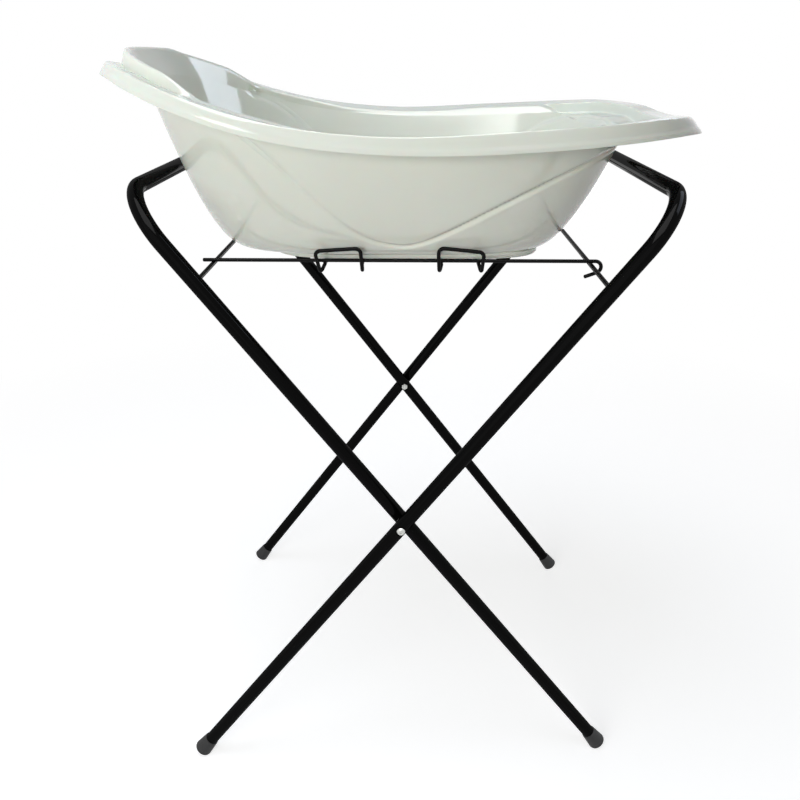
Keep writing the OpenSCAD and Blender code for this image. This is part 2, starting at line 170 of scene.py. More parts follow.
def makeFootRubber():  # moulded rubber: dull black, fine grain, greyer where it scuffs on the floor
    look = rubberLook
    material, tree, shader = newMaterial("mouldedRubber", {"IOR": look["ior"]})
    onPart = addNode(tree, "ShaderNodeTexCoord").outputs["Object"]
    place = addNode(tree, "ShaderNodeSeparateXYZ", links={"Vector": onPart})
    low = addNode(tree, "ShaderNodeMapRange", {"From Min": look["scuffUpM"], "From Max": 0.0},
                  {"Value": place.outputs["Z"]})
    scuff = addNode(tree, "ShaderNodeTexNoise", {"Scale": 1000 / look["scuffMm"], "Detail": 4.0},
                    {"Vector": onPart})
    worn = addNode(tree, "ShaderNodeMath", {"operation": "MULTIPLY"},
                   {0: low.outputs["Result"], 1: scuff.outputs["Fac"]})
    tint = addNode(tree, "ShaderNodeMix", {"data_type": "RGBA", mixFirst: hexColour(look["colour"]),
                                           mixSecond: hexColour(look["wornColour"])},
                   {mixFactor: worn.outputs["Value"]})
    tree.links.new(tint.outputs[mixResult], shader.inputs["Base Color"])
    grain = addNode(tree, "ShaderNodeTexNoise", {"Scale": 1000 / look["grainMm"], "Detail": 2.0},
                    {"Vector": onPart})
    gloss = addNode(tree, "ShaderNodeMapRange", {"To Min": look["roughFrom"], "To Max": look["roughTo"]},
                    {"Value": grain.outputs["Fac"]})
    tree.links.new(gloss.outputs["Result"], shader.inputs["Roughness"])
    bump = addNode(tree, "ShaderNodeBump", {"Strength": look["grainBump"], "Distance": look["grainM"]},
                   {"Height": grain.outputs["Fac"]})
    tree.links.new(bump.outputs["Normal"], shader.inputs["Normal"])
    return material


zincLook = {"colour": "#c9cac6", "roughFrom": 0.2, "roughTo": 0.42,
            "bloomMm": 1.5, "bloomBump": 0.15, "bloomM": 0.0001}  # real bloom is finer: drawn to show


def makeZinc():  # zinc-plated steel, turned and tumbled: bright grey with a patchy bloom
    look = zincLook
    material, tree, shader = newMaterial("zincPlatedSteel", {
        "Base Color": hexColour(look["colour"]), "Metallic": 1.0})
    onPart = addNode(tree, "ShaderNodeTexCoord").outputs["Object"]
    bloom = addNode(tree, "ShaderNodeTexNoise", {"Scale": 1000 / look["bloomMm"], "Detail": 3.0},
                    {"Vector": onPart})
    gloss = addNode(tree, "ShaderNodeMapRange", {"To Min": look["roughFrom"], "To Max": look["roughTo"]},
                    {"Value": bloom.outputs["Fac"]})
    tree.links.new(gloss.outputs["Result"], shader.inputs["Roughness"])
    bump = addNode(tree, "ShaderNodeBump", {"Strength": look["bloomBump"], "Distance": look["bloomM"]},
                   {"Height": bloom.outputs["Fac"]})
    tree.links.new(bump.outputs["Normal"], shader.inputs["Normal"])
    return material


bathPlastic = makeBathPlastic()
blackLacquer = makeBlackLacquer()
wireCoat = makeWireCoat()
footRubber = makeFootRubber()
zinc = makeZinc()
print("finishes made")


tinyR = 0.01  # radius of the ring that closes a turned piece in its middle
creaseDegrees = 40  # an edge that turns by more than this stays sharp


# a smooth-shaded piece that rides on a body, and stands for the nodes it replaces
def addPiece(name, points, faces, body, material, replaced=(), sharpDegrees=creaseDegrees):
    mesh = bpy.data.meshes.new(name)
    mesh.from_pydata([Vector(p) / 1000 for p in points], [], faces)
    work = bmesh.new()
    work.from_mesh(mesh)
    bmesh.ops.remove_doubles(work, verts=work.verts, dist=1e-6)
    bmesh.ops.recalc_face_normals(work, faces=work.faces)
    for face in work.faces:
        face.smooth = True
    work.to_mesh(mesh)
    work.free()
    mesh.set_sharp_from_angle(angle=math.radians(sharpDegrees))
    mesh.materials.append(material)
    piece = bpy.data.objects.new(name, mesh)
    bpy.context.scene.collection.objects.link(piece)
    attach(piece, body)
    if replaced:
        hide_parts(*replaced)
    return piece


def skinRings(rings, closedRows=False, capStart=False, capEnd=False):  # joins rings of equal length
    n = len(rings[0])
    points = [p for ring in rings for p in ring]
    faces = []
    rows = len(rings)
    for i in range(rows if closedRows else rows - 1):
        for j in range(n):
            k, i2 = (j + 1) % n, (i + 1) % rows
            faces.append((i * n + j, i * n + k, i2 * n + k, i2 * n + j))
    if capStart:
        faces.append(tuple(range(n - 1, -1, -1)))
    if capEnd:
        faces.append(tuple(range((rows - 1) * n, rows * n)))
    return points, faces


def sweep(path, radius, sides, closed=False, domed=False):  # round wire or tube along a path
    path = [Vector(p) for p in path]
    radii = [radius] * len(path)
    if domed:  # the cut ends of a wire are rounded off
        steps = [math.radians(a) for a in (88, 70, 50, 25)]
        first, last = (path[0] - path[1]).normalized(), (path[-1] - path[-2]).normalized()
        dome = radius * 0.6
        path = ([path[0] + first * dome * math.sin(a) for a in steps] + path
                + [path[-1] + last * dome * math.sin(a) for a in reversed(steps)])
        ends = [radius * math.cos(a) for a in steps]
        radii = ends + radii + ends[::-1]
    count = len(path)
    tangents = []
    for i in range(count):
        before, after = path[(i - 1) % count], path[(i + 1) % count]
        if not closed:
            before, after = path[max(i - 1, 0)], path[min(i + 1, count - 1)]
        tangents.append((after - before).normalized())
    side = tangents[0].cross(Vector((0.31, 0.17, 0.94))).normalized()  # any direction off the path will do
    across = []
    for i in range(count):
        side = (side - tangents[i] * side.dot(tangents[i])).normalized()
        across.append(side.copy())
    twist = 0.0
    if closed:  # spread the left-over twist along the loop so that it joins up
        back = (across[-1] - tangents[0] * across[-1].dot(tangents[0])).normalized()
        twist = math.atan2(back.cross(across[0]).dot(tangents[0]), back.dot(across[0]))
    rings = []
    for i in range(count):
        up = tangents[i].cross(across[i])
        turn = twist * i / count
        ring = []
        for j in range(sides):
            a = 2 * math.pi * j / sides + turn
            ring.append(path[i] + radii[i] * (math.cos(a) * across[i] + math.sin(a) * up))
        rings.append(ring)
    return skinRings(rings, closedRows=closed, capStart=not closed, capEnd=not closed)


def lathe(profile, place, sides):  # profile: (radius, height) pairs; place: function from local x, y, z
    rings = [[place(r * math.cos(2 * math.pi * j / sides), r * math.sin(2 * math.pi * j / sides), h)
              for j in range(sides)] for r, h in profile]
    return skinRings(rings, capStart=True, capEnd=True)


def roundedPath(corners, radii, steps):  # a closed path with an arc in place of each corner
    path = []
    for i, b in enumerate(corners):
        a, c = corners[i - 1], corners[(i + 1) % len(corners)]
        u, v = (a - b).normalized(), (c - b).normalized()
        half = math.acos(max(-1, min(1, u.dot(v)))) / 2
        radius = radii[i]
        centre = b + (u + v).normalized() * radius / math.sin(half)
        p, q = b + u * radius / math.tan(half) - centre, b + v * radius / math.tan(half) - centre
        sweepAngle = math.pi - 2 * half
        for k in range(steps + 1):
            f = k / steps
            bend = p * math.sin(sweepAngle * (1 - f)) + q * math.sin(sweepAngle * f)
            path.append(centre + bend / math.sin(sweepAngle))
    return path


# two crossed frames: x and pivotH place the pivot, legAngle is from upright, outerW is between tube middles
stand = {"tubeR": 10.0, "legAngle": 36.57, "pivotH": 442.0, "legUp": 556.0, "outerW": 516.6, "legGap": 3.2,
         "bendR": 74.0, "x": -4.5}
legSin, legCos = math.sin(math.radians(stand["legAngle"])), math.cos(math.radians(stand["legAngle"]))
innerW = stand["outerW"] - 2 * (2 * stand["tubeR"] + stand["legGap"])
foot = {"length": 29.0, "wall": 1.2, "flare": 3.7, "round": 3.0, "worn": 3.0, "rib": 0.35, "sole": 8.0,
        "grooveUp": 6.9, "floorGapM": 0.00002}  # the worn flat is cut just above the floor, in metres
footS = stand["pivotH"] / legCos - (stand["tubeR"] + foot["flare"]) * legSin / legCos + foot["worn"] / legCos


def onLeg(side, x, y, s):  # a point given beside the leg axis, s up the leg from the pivot
    return Vector((stand["x"] + x * legCos + side * s * legSin, y,
                   stand["pivotH"] - side * x * legSin + s * legCos))


def tubePath(side, width):  # one bent frame: up a leg, over the top and down the other leg
    half, r, straight = width / 2, stand["bendR"], stand["legUp"] - stand["bendR"]
    low = footS - foot["sole"] / 2  # the tube ends within the foot's sole
    bends = [math.radians(90 * k / 22) for k in range(23)]
    path = [(-half, mix(-low, straight, k / 24)) for k in range(24)]
    path += [(-half + r - r * math.cos(a), straight + r * math.sin(a)) for a in bends]
    path += [(mix(-half + r, half - r, k / 8), stand["legUp"]) for k in range(1, 8)]
    path += [(half - r + r * math.sin(a), straight + r * math.cos(a)) for a in bends]
    path += [(half, mix(straight, -low, k / 24)) for k in range(1, 25)]
    return [onLeg(side, 0, y, s) for y, s in path]


frames = (("outer", 1, stand["outerW"]), ("inner", -1, innerW))
for name, side, width in frames:
    points, faces = sweep(tubePath(side, width), stand["tubeR"], sides=48)
    addPiece(name + "Tube", points, faces, name + "_frame", blackLacquer,
             [name + "_frame_tube"])


def footProfile():  # from the floor side up the outside, over the top edge and down inside
    r0, r1, r = stand["tubeR"] + foot["wall"], stand["tubeR"] + foot["flare"], foot["round"]
    profile = [(tinyR, 0), (r1 - r, 0)]
    turns = [math.radians(18 * k) for k in range(1, 6)]
    profile += [(r1 - r + r * math.sin(a), r - r * math.cos(a)) for a in turns]
    slope = (r0 - r1) / (foot["length"] - r)
    up = foot["grooveUp"]  # a parting groove runs round above the tread
    for s in (5.0, up - 0.7, up, up + 0.7, 8.8, 13, 18, 22, foot["length"] - 3):
        profile.append((r1 + slope * (s - r) - (foot["rib"] if s == up else 0), s))
    profile += [(r0, foot["length"] - 0.9), (r0 - 0.35, foot["length"] - 0.2), (r0 - 0.9, foot["length"]),
                (stand["tubeR"] - 0.2, foot["length"] - 0.1), (stand["tubeR"] - 0.2, foot["sole"]),
                (tinyR, foot["sole"])]
    return profile


for name, side, width in frames:
    for where, ySide in (("near", -1), ("far", 1)):
        middle = ySide * width / 2
        points, faces = lathe(footProfile(), lambda x, y, h: onLeg(side, x, y + middle, h - footS), 56)
        piece = addPiece(name + "Foot_" + where, points, faces, name + "_frame", footRubber,
                         [name + "_foot_" + where])
        work = bmesh.new()  # worn flat where it stands on the floor
        work.from_mesh(piece.data)
        whole = work.verts[:] + work.edges[:] + work.faces[:]
        cut = bmesh.ops.bisect_plane(work, geom=whole, clear_outer=True, plane_no=(0, 0, -1),
                                     plane_co=(0, 0, foot["floorGapM"]))
        rim = [e for e in cut["geom_cut"] if isinstance(e, bmesh.types.BMEdge)]
        bmesh.ops.contextual_create(work, geom=rim)
        work.to_mesh(piece.data)
        work.free()
        piece.data.set_sharp_from_angle(angle=math.radians(creaseDegrees))
print("frames and feet made")


# bolts through both frames; Af is across the flats of a hexagon
pivot = {"headD": 11.5, "headH": 3.2, "socketAf": 4.0, "socketDeep": 1.9, "shankR": 3.0, "nutAf": 10.0,
         "nutH": 5.0, "spacerR": 6.5, "play": 0.1, "bore": 0.02, "chamfer": 0.6, "sides": 72}
nutSeat = innerW / 2 - stand["tubeR"] - pivot["play"]  # inner side of the inner frame's tube
boreR = pivot["shankR"] + pivot["bore"]


def alongY(side, seat):  # local z points outwards along Y from the seat
    return lambda x, y, h: Vector((stand["x"] + x, side * (seat + h), stand["pivotH"] + y))


def hexRadius(angle, acrossFlats):  # from the middle of a hexagon to its side
    turn = math.radians(60)
    return acrossFlats / 2 / math.cos((angle + turn / 2) % turn - turn / 2)


def ringOf(place, radiusAt, heightAt):  # each is a number, or a function: of the angle, and of the radius
    ring = []
    for j in range(pivot["sides"]):
        a = 2 * math.pi * j / pivot["sides"]
        r = radiusAt(a) if callable(radiusAt) else radiusAt
        ring.append(place(r * math.cos(a), r * math.sin(a), heightAt(r) if callable(heightAt) else heightAt))
    return ring


def addBolt(where, side):  # button head with a hexagon socket, and its shank
    seat = stand["outerW"] / 2 + stand["tubeR"] + pivot["play"]
    place, reach = alongY(side, seat), nutSeat - pivot["nutH"] - seat
    headR, headH, shank = pivot["headD"] / 2, pivot["headH"], pivot["shankR"] - 0.05
    socketFloor = headH - pivot["socketDeep"]
    rings = [ringOf(place, r, h) for r, h in (
        (tinyR, reach), (shank - 0.55, reach), (shank, reach + 0.6), (shank, 0.1), (headR - 0.5, 0.0),
        (headR - 0.12, 0.12), (headR, 0.45), (headR - 0.1, 0.9), (headR - 0.7, 1.75), (headR - 1.6, 2.45),
        (headR - 2.6, 2.95), (headR - 3.1, headH - 0.08))]
    for grow, h in ((0.35, headH - 0.05), (0.0, headH - 0.35), (0.0, socketFloor)):
        rings.append(ringOf(place, lambda a, g=grow: hexRadius(a, pivot["socketAf"]) + g, h))
    rings.append(ringOf(place, tinyR, socketFloor - 0.4))
    points, faces = skinRings(rings, capStart=True, capEnd=True)
    addPiece("pivotBolt_" + where, points, faces, "pivot_bolts", zinc, ["pivot_bolt_" + where], 32)


def addNut(where, side):  # hexagon nut with chamfered corners
    flat, h = pivot["nutAf"] / 2, pivot["nutH"]
    place = alongY(side, nutSeat - h)

    def hexSide(a):
        return hexRadius(a, pivot["nutAf"])

    def cornerFall(r):
        return 0.05 + (r - flat) * pivot["chamfer"]

    rings = [ringOf(place, r, height) for r, height in (
        (boreR, h), (flat - 0.15, h), (hexSide, lambda r: h - cornerFall(r)), (hexSide, cornerFall),
        (flat - 0.15, 0), (pivot["shankR"] + 0.6, 0), (boreR, 0.5))]
    points, faces = skinRings(rings, closedRows=True)
    addPiece("pivotNut_" + where, points, faces, "pivot_bolts", zinc, ["pivot_nut_" + where], 28)


def addSpacer(where, side):  # washer between the two frames
    inner = innerW / 2 + stand["tubeR"] + pivot["play"]
    deep = stand["outerW"] / 2 - stand["tubeR"] - pivot["play"] - inner
    r, edge = pivot["spacerR"], 0.4
    rings = [ringOf(alongY(side, inner), radius, height) for radius, height in (
        (boreR, 0), (r - edge, 0), (r, edge), (r, deep - edge), (r - edge, deep), (boreR, deep))]
    points, faces = skinRings(rings, closedRows=True)
    addPiece("pivotSpacer_" + where, points, faces, "pivot_bolts", zinc,
             ["pivot_spacer_" + where], 28)


for where, side in (("near", -1), ("far", 1)):
    addBolt(where, side)
    addNut(where, side)
    addSpacer(where, side)
print("pivot bolts made")


# the wire rack: its axle turns in the inner frame, its hooks lie on the outer frame's catch wire
rack = {"crossD": 6.0, "wireD": 5.0, "axleUp": 425.3, "width": 280.0, "press": 1.5, "restGap": 0.3,
        "stub": 13.0, "hookR": 8.0, "hookSlope": 20.0, "hookTail": 16.0, "hookPast": 5.0,
        "loops": (("head", -85.0, 4.0, 4.0), ("foot", 77.0, 0.0, -6.0)),  # name, middle, lean, tilt of ears
        "earUp": 19.0, "earOut": 20.0, "earW": 60.0, "earBend": 7.0, "bend": 3.6, "rootLean": 1.5,
        "dropDown": 14.5, "dropOut": 10.0, "dropIn": 2.0, "rootOut": 2.0, "rootIn": 5.0,
        "beadSize": (3.4, 2.3, 1.7), "beadUp": 2.6, "beadLump": 0.12}
wireR = rack["wireD"] / 2
axle = onLeg(-1, 0, 0, rack["axleUp"])
longZ = axle.z + (rack["crossD"] + rack["wireD"]) / 2 - rack["press"]
catchZ = longZ - (rack["crossD"] + rack["wireD"]) / 2 - rack["restGap"]
catchX = stand["x"] + (catchZ - stand["pivotH"]) * legSin / legCos
hookX, hookZ = catchX + rack["hookPast"], longZ - rack["hookR"]
loopZ = longZ - rack["wireD"]


def hookedWire(y):  # straight wire, then a hook that drops over the catch wire
    path = [Vector((mix(axle.x - rack["stub"], hookX, k / 30), y, longZ)) for k in range(30)]
    turn = 180 - rack["hookSlope"]
    for k in range(25):
        a = math.radians(turn * k / 24)
        path.append(Vector((hookX + rack["hookR"] * math.sin(a), y, hookZ + rack["hookR"] * math.cos(a))))
    a = math.radians(turn)
    ahead = Vector((math.cos(a), 0, -math.sin(a)))
    path += [path[-1] + ahead * rack["hookTail"] * k / 4 for k in range(1, 5)]
    return path


for where, side in (("near", -1), ("far", 1)):
    points, faces = sweep(hookedWire(side * rack["width"] / 2), wireR, 24, domed=True)
    addPiece("rackWire_" + where, points, faces, "rack", wireCoat, ["rack_wire_" + where])


def loopPath(midX, lean, tilt):  # an ear beside each long wire, joined by two cross members under the bath
    half, side = rack["earW"] / 2, rack["width"] / 2

    def leg(m):  # from its root beside the long wire down to the drop and up to the top of the ear
        rootX = m * (half - rack["rootIn"]) + lean * rack["rootLean"]
        dropX = m * (half - rack["dropIn"]) + lean
        return [Vector((rootX, side + rack["rootOut"], loopZ)),
                Vector((dropX, side + rack["dropOut"], longZ - rack["dropDown"])),
                Vector((m * half, side + rack["earOut"], longZ + rack["earUp"] + m * tilt / 2))]

    a, b = leg(-1), leg(1)
    ear = [a[0], a[1], a[2], b[2], b[1], b[0]]
    other = [Vector((p.x, -p.y, p.z)) for p in reversed(ear)]
    corners = [p + Vector((midX + stand["x"], 0, 0)) for p in ear + other]
    radii = [rack["bend"], rack["bend"], rack["earBend"], rack["earBend"], rack["bend"], rack["bend"]] * 2
    bent = roundedPath(corners, radii, 8)
    path, spacing = [], 12
    for i, p in enumerate(bent):  # long straight runs get points in between
        q = bent[(i + 1) % len(bent)]
        parts = max(1, int((q - p).length / spacing))
        path += [p.lerp(q, k / parts) for k in range(parts)]
    return path


for where, midX, lean, tilt in rack["loops"]:
    points, faces = sweep(loopPath(midX, lean, tilt), wireR, 24, closed=True)
    addPiece("rackLoop_" + where, points, faces, "rack", wireCoat, ["rack_loop_" + where])


def weldBead(centre, axis, size):  # a small fused lump in the crease between two crossing wires
    rings, rows, sides = [], 8, 14
    for i in range(1, rows):
        u = math.pi * i / rows
        ring = []
        for j in range(sides):
            a = 2 * math.pi * j / sides
            lump = 1 + rack["beadLump"] * math.sin(3 * a + 2 * u)
            offset = Vector((size[0] * math.cos(u), size[1] * math.sin(u) * math.cos(a) * lump,
                             size[2] * math.sin(u) * math.sin(a) * lump))
            if axis == "y":
                offset = Vector((offset.y, offset.x, offset.z))
            ring.append(centre + offset)
        rings.append(ring)
    return skinRings(rings, capStart=True, capEnd=True)


weldPoints, weldFaces = [], []
welds = [(Vector((axle.x, side * rack["width"] / 2, axle.z + rack["beadUp"])), "x") for side in (-1, 1)]
for where, midX, lean, tilt in rack["loops"]:
    for m in (-1, 1):
        for side in (-1, 1):
            x = midX + stand["x"] + m * (rack["earW"] / 2 - rack["rootIn"]) + lean * rack["rootLean"]
            welds.append((Vector((x, side * rack["width"] / 2, longZ - wireR)), "y"))
for centre, axis in welds:
    points, faces = weldBead(centre, axis, rack["beadSize"])
    weldFaces += [tuple(i + len(weldPoints) for i in face) for face in faces]
    weldPoints += points
addPiece("rackWelds", weldPoints, weldFaces, "rack", wireCoat)
for name in ("catch_wire", "rack_axle"):  # two plain wires that keep their solids
    for slot in nodes[name].material_slots:
        slot.material = wireCoat
print("wire rack made")


# the bath: x from its middle, minus towards the head; a stretch is where a shape comes in along x
bath = {
    "len": 786.0, "w": 503.0, "shell": 3.0,
    "rimH": 933.4, "headRise": 95.0, "headDip": 22.0, "footRise": 20.8, "footDip": 12.0,  # sweep of the lip
    "swell": (2.2, -50, 85),  # a slight rise in its edge: height, middle, reach
    "lipH": 18.7, "lipMore": 4.0, "creaseH": 6.2, "creaseDeep": 0.8,
    "lean": 7, "leanHead": 3, "leanFoot": 6, "leanTip": 6,  # how far in the lip slopes, and what the ends add
    "sideFlange": 35.7, "headFlange": 32.0, "footFlange": 94.0, "collarH": 13.4, "collarFoot": 12,
    # how far the flange falls inwards: at the sides, less by this in the foot half, at head, foot and tips
    "fallSide": 4, "fallLess": 0.5, "fallHead": 1.5, "fallFoot": 3.3, "headTipDrop": 4, "footTipDrop": 2,
    "shoulder": 15.0, "ledge": 14.0, "ledgeAt": (0.97, 0.5), "ledgeRun": 0.09,  # shares of the flange's width
    "panelZ": 813.0, "panelOut": 4.5, "foldH": (5, 11),  # foldH: crisp, and soft where it climbs to the head
    "grooveIn": (1.6, 4, 2.8), "grooveOut": (-4.2, -3.8, 3.0),  # relief, height over the panel's edge, reach
    "softGroove": 0.75, "insideShift": (12, 17),  # what the soft fold loses; indoors it lies nearer the ends
    "wallOver": 14, "wallTop": 0.965, "outerTop": 0.975, "footLess": 0.08,  # how far up the walls go
    # of each wall, the share that is straight and the fullness of the rest
    "sideBulge": (0.548, 0.306), "headBulge": (0.565, 0.21), "footBulge": (0.61, 0.483),
    "headBack": 15.5, "footBack": 1.7,  # how far inside the flange's edge the walls would end
    "floorHead": 213.0, "floorFoot": 182.0, "floorHalf": 115.0,
    "innerUp": 0.9,  # how much of the shell's thickness the inner wall starts above the outer one
    "ringHead": 189.0, "ringFoot": 189.0, "ringHalf": 126.0, "ringH": 6.5,
    # each outline from above: how square its head and its foot are, and the x where the two meet
    "plan": {"rim": (3.17, 2.69, 6), "top": (3.03, 3.03, stand["x"]), "edge": (2.9, 2.7, 60),
             "floor": (4, 4, stand["x"]), "ring": (4.4, 4.4, 4)},
    "stretch": {"head": (-130, -220), "foot": (300, 370), "footHalf": (-60, 140), "collar": (-235, -293),
                "footLean": (345, 385), "ledge": (245, 295), "ledgeIn": (275, 345),
                "headTip": (-345, -380), "footTip": (360, 390), "headEnd": (-375, -390),
                "footEnd": (375, 390), "softFold": (-5, -85), "grooveEnd": (270, 330),
                "insideHead": (-100, -200), "insideFoot": (150, 220)},
    # the mesh: columns, rows of a wall and how they crowd low down, and three runs of rows over the flange
    "sectors": 400, "levels": 150, "bunching": 1.45, "flangeRows": (11, 8, 3)}
# the panel's lower edge, from its lowest point: height, start and run of a climb, and its way to the foot end
wave = {"lowX": -5, "toe": (2.5, 0, 25), "headClimb": (161, 12, 230), "straightAt": 232,
        "footClimb": 0.77, "footRound": 32, "footEase": 0.00078}
bathZ = loopZ + wireR + rack["restGap"]
halfLen, halfWidth = bath["len"] / 2, bath["w"] / 2


def along(x, name):  # 0 before a stretch of the bath's length, 1 past it
    start, end = bath["stretch"][name]
    return smooth((x - start) / (end - start))


def rimZ(x, dip=True):  # height of the lip's edge; the head tip dips where dip is true
    h, f = max(0, min(1, -x / halfLen)), max(0, min(1, x / halfLen))
    headSweep = bath["headRise"] * (1 - (1 - h * h) ** 1.05) - (bath["headDip"] * h ** 32 if dip else 0)
    footSweep = bath["footRise"] * f ** 1.5 - bath["footDip"] * f ** 14
    height, middle, reach = bath["swell"]
    return bath["rimH"] + headSweep + footSweep + height * math.exp(-((x - middle) / reach) ** 2)


def planCurve(name, t, toHead, toFoot, halfW):  # an outline from above that reaches to head, foot and sides
    squareHead, squareFoot, split = bath["plan"][name]
    c, s = math.cos(t), math.sin(t)
    n = squareHead if c < 0 else squareFoot  # 2 would be an ellipse, and more is squarer
    k = (abs(c) ** n + abs(s) ** n) ** (1 / n)
    return Vector((split + (toHead + split if c < 0 else toFoot - split) * c / k, halfW * s / k))


def rimPlan(t):  # the lip's lowest edge
    return planCurve("rim", t, halfLen, halfLen, halfWidth)


def topPlan(t, inset):  # where the basin's wall would reach the rim
    return planCurve("top", t, halfLen - bath["headFlange"] - bath["headBack"] - inset,
                     halfLen - bath["footFlange"] - bath["footBack"] - inset,
                     halfWidth - bath["sideFlange"] - inset)


def edgePlan(t):  # inner edge of the flange
    return planCurve("edge", t, halfLen - bath["headFlange"], halfLen - bath["footFlange"] - bath["panelOut"],
                     halfWidth - bath["sideFlange"])


def lowPlan(t, inset):  # where the basin's wall starts at the floor
    return planCurve("floor", t, bath["floorHead"] - inset, bath["floorFoot"] - inset,
                     bath["floorHalf"] - inset)


def ringPlan(t):  # outline of the shallow foot ring that stands proud under the basin
    return planCurve("ring", t, bath["ringHead"], bath["ringFoot"], bath["ringHalf"])


def panelEdge(x):  # the wave-shaped lower edge of the side panel
    d = x - wave["lowX"]
    if d < 0:  # up to the head in an S
        climbs = (wave["headClimb"], wave["toe"])
        climb = sum(height * smooth((-d - start) / run) for height, start, run in climbs)
        return bath["panelZ"] + climb + max(0, -d - wave["straightAt"])
    climb = math.sqrt((wave["footClimb"] * d) ** 2 + wave["footRound"] ** 2) - wave["footRound"]
    return bath["panelZ"] + climb - wave["footEase"] * d * d


def panelStep(x, z, inset=0.0):  # the panel stands out above its edge, and a fine groove runs along the fold
    if inset:
        x += bath["insideShift"][0] * along(x, "insideHead")
        z -= bath["insideShift"][1] * along(x, "insideFoot")
    above = z - panelEdge(x)
    soft = along(x, "softFold")
    relief, middle, reach = bath["grooveIn" if inset else "grooveOut"]
    groove = relief * math.exp(-((above - middle) / reach) ** 2)
    fade = (1 - bath["softGroove"] * soft) * (1 - along(abs(x - wave["lowX"]), "grooveEnd"))
    return bath["panelOut"] * smooth(above / mix(*bath["foldH"], soft) + 0.5) + fade * groove


def bulge(s, shape):  # how far out a wall is at level s
    straight, fullness = shape
    return straight * s + (1 - straight) * (1 - (1 - s) ** 3) ** fullness


def wallPoint(t, s, inset):  # s runs from 0 at the foot ring to 1 at the rim; inset is 0 outdoors
    ends = math.cos(t)
    endBulge = bath["headBulge" if ends < 0 else "footBulge"]
    a, b = lowPlan(t, inset), topPlan(t, inset)
    p = a + (b - a) * mix(bulge(s, bath["sideBulge"]), bulge(s, endBulge), ends ** 2)
    z = mix(bathZ + bath["ringH"] + inset * bath["innerUp"], rimZ(p.x) + bath["wallOver"], s)
    outward = Vector((p.x / 300 ** 2, p.y / 200 ** 2)).normalized()  # as on an ellipse of 300 by 200
    q = p + outward * panelStep(p.x, z, inset)
    return Vector((q.x, q.y, z))


def lipLean(x):  # how far the lip slopes in from its lowest edge to the flange
    return (bath["lean"] + bath["leanHead"] * along(x, "head") + bath["leanFoot"] * along(x, "foot")
            + bath["leanTip"] * along(x, "footLean"))


def lipHeight(x):  # the lip is deeper over the foot half
    return bath["lipH"] + bath["lipMore"] * along(x, "footHalf")


def ledgePlace(x):  # the wave of the side panel runs on across the foot end
    return mix(*bath["ledgeAt"], along(x, "ledgeIn"))


def flangeSteps(x):  # rows from the lip to the basin, close together where the ledge falls
    low, high = ledgePlace(x) - 0.03, min(0.985, ledgePlace(x) + 0.066)  # just beyond the ledge itself
    outer, fine, inner = bath["flangeRows"]
    return ([low * k / outer for k in range(outer)] + [mix(low, high, k / fine) for k in range(fine + 1)]
            + [mix(high, 1, k / inner) for k in range(1, inner + 1)])


def flangeHeight(e, x):  # e runs from 0 at the lip to 1 at the basin, with a shoulder at the foot end
    toHead, toFoot = along(x, "head"), along(x, "foot")
    slope = (bath["fallSide"] - bath["fallLess"] * along(x, "footHalf")) * (1 - toHead) * (1 - toFoot)
    slope += bath["fallHead"] * toHead
    fall = bath["fallFoot"] + (bath["shoulder"] - bath["ledge"]) * (max(0, e - 0.2) / 0.8) ** 1.15
    ledge = bath["ledge"] * along(x, "ledge") * smooth((e - ledgePlace(x)) / bath["ledgeRun"] + 0.3)
    tips = (bath["headTipDrop"] + e) * along(x, "headTip") + bath["footTipDrop"] * along(x, "footTip")
    return lipHeight(x) - e * slope - tips - toFoot * fall - ledge


def edgeHeight(rise, x):  # top of the basin's edge, level with the lip where the collar rises
    return mix(flangeHeight(1, x), bath["lipH"] + 1, rise * along(x, "head"))


def rimPoint(t, d, h, rise=0.0):  # d in from the lip's edge, h above it; rise is 1 on top of the collar
    a, b = rimPlan(t), edgePlan(t)
    p = a + (b - a).normalized() * d
    tip = max(along(a.x, "headEnd"), along(a.x, "footEnd"))  # the very ends keep one height across
    x = mix(p.x, a.x, tip)
    top = 0.0
    if rise > 0:
        lost = rimZ(p.x, False) - rimZ(x)
        collar = bath["collarH"] * along(p.x, "collar")
        top = collar * rise + lost * max(0, rise - 0.2) * along(p.x, "head")
    return Vector((p.x, p.y, rimZ(x) + h + top))


def rimWidth(t):  # from the lip's edge in to the basin's wall
    p = edgePlan(t)
    return (p - rimPlan(t)).length - panelStep(p.x, rimZ(p.x) + 10)


# sections: the lip as shares of its lean and height, the basin's edge as distance, drop and share of collar
lipOutside = ((0.0, 0.0), (0.02, 0.06), (0.07, 0.14), (0.13, 0.23), (0.2, 0.31), (0.3, 0.42), (0.4, 0.54),
              (0.5, 0.66), (0.6, 0.77), (0.7, 0.86), (0.82, 0.94), (0.94, 0.985), (1.06, 1.0))
edgeOutside = ((-10, 0, 0.3), (-8.8, 0, 0.52), (-7.5, 0, 0.72), (-6.2, 0.05, 0.87), (-5, 0.2, 0.95),
               (-3.7, 0.5, 0.985), (-2.5, 1, 1.0), (-1.2, 1.9, 1.0), (0, 3.2, 1.0), (1.0, 4.8, 0.97))
edgeUnder = ((-9.5, 0, 0.25), (-7, 0, 0.5), (-5.2, 0.4, 0.72), (-4, 1, 0.85), (-2.8, 2, 0.88))
# the floor as inset and height over its skin, the foot ring as inset and share of the drop to it
floorInside = ((5.5, 0.3), (4.2, 0.5), (3.2, 1.2), (2.4, 3.0))
ringSection = ((-0.9, 0.93), (-0.2, 0.84), (0.2, 0.7), (0.7, 0.35), (1.1, 0.14), (1.8, 0.03), (3.2, 0))


